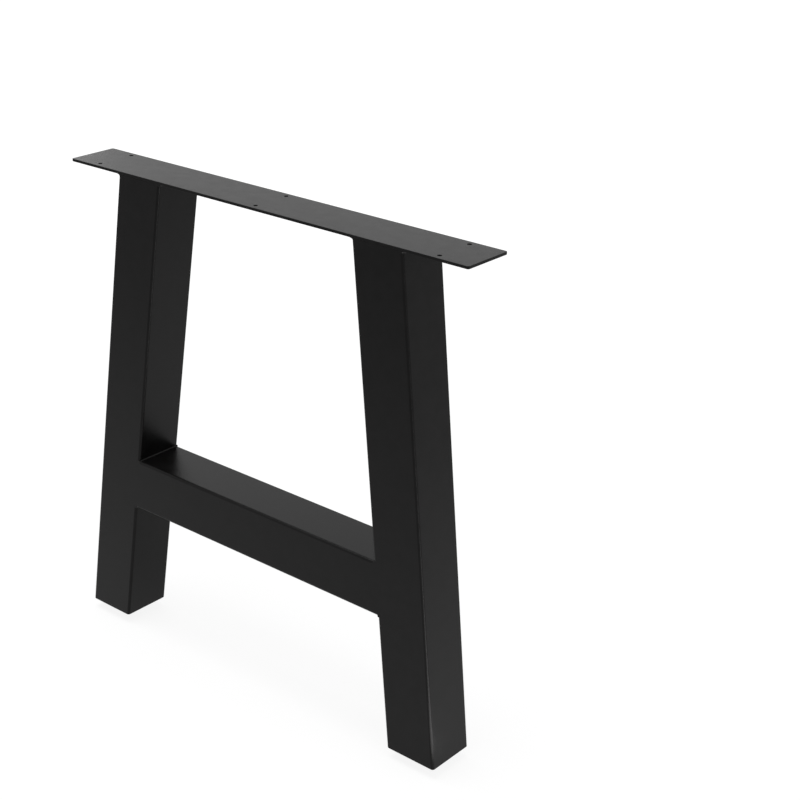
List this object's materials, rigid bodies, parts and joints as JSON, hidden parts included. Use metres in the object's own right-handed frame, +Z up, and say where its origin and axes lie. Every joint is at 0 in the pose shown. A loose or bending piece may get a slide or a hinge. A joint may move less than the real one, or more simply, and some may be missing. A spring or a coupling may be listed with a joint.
{
  "type": "dining table frame",
  "caption": "A-shaped table leg frame of square steel tube with a drilled top plate, a crossbar and screw levelling feet.",
  "frame": {"origin": "on the floor under the pads, at the middle of the frame", "axes": "+Z up, X along the top plate, Y across the frame"},
  "size_m": [0.7, 0.08, 0.7358],
  "materials": {
    "black_powder_coat": "fine satin powder coat",
    "plain_steel": "plain",
    "plated_screw": "bright zinc plate",
    "nickel_cup": "satin nickel with a polished rim",
    "rubber_pad": "matte"
  },
  "bodies": {
    "frame": {"top_plate": "black_powder_coat", "crossbar_tube": "black_powder_coat", "left_leg_tube": "black_powder_coat", "left_top_weld": "black_powder_coat", "left_crossbar_weld": "black_powder_coat", "left_foot_plate": "black_powder_coat", "left_weld_nut": "plain_steel", "right_leg_tube": "black_powder_coat", "right_top_weld": "black_powder_coat", "right_crossbar_weld": "black_powder_coat", "right_foot_plate": "black_powder_coat", "right_weld_nut": "plain_steel"},
    "left_foot_base": {"left_foot_cup": "nickel_cup", "left_foot_pad": "rubber_pad"},
    "left_screw": {"left_foot_screw": "plated_screw"},
    "right_foot_base": {"right_foot_cup": "nickel_cup", "right_foot_pad": "rubber_pad"},
    "right_screw": {"right_foot_screw": "plated_screw"}
  },
  "joints": [
    {"name": "left_foot_extend", "type": "slide", "parent": "frame", "child": "left_foot_base", "axis": [0, 0, -1], "range_m": [0, 0.01]},
    {"name": "left_screw_turn", "type": "hinge", "parent": "left_foot_base", "child": "left_screw", "pos_m": [-0.30168, 0, 0.0158], "axis": [0, 0, -1], "range_deg": [0, 2880]},
    {"name": "right_foot_extend", "type": "slide", "parent": "frame", "child": "right_foot_base", "axis": [0, 0, -1], "range_m": [0, 0.01]},
    {"name": "right_screw_turn", "type": "hinge", "parent": "right_foot_base", "child": "right_screw", "pos_m": [0.30168, 0, 0.0158], "axis": [0, 0, -1], "range_deg": [0, 2880]}
  ],
  "couplings": [
    {"joint": "left_screw_turn", "follows": "left_foot_extend", "rad_per_m": 5026.5},
    {"joint": "right_screw_turn", "follows": "right_foot_extend", "rad_per_m": 5026.5}
  ]
}
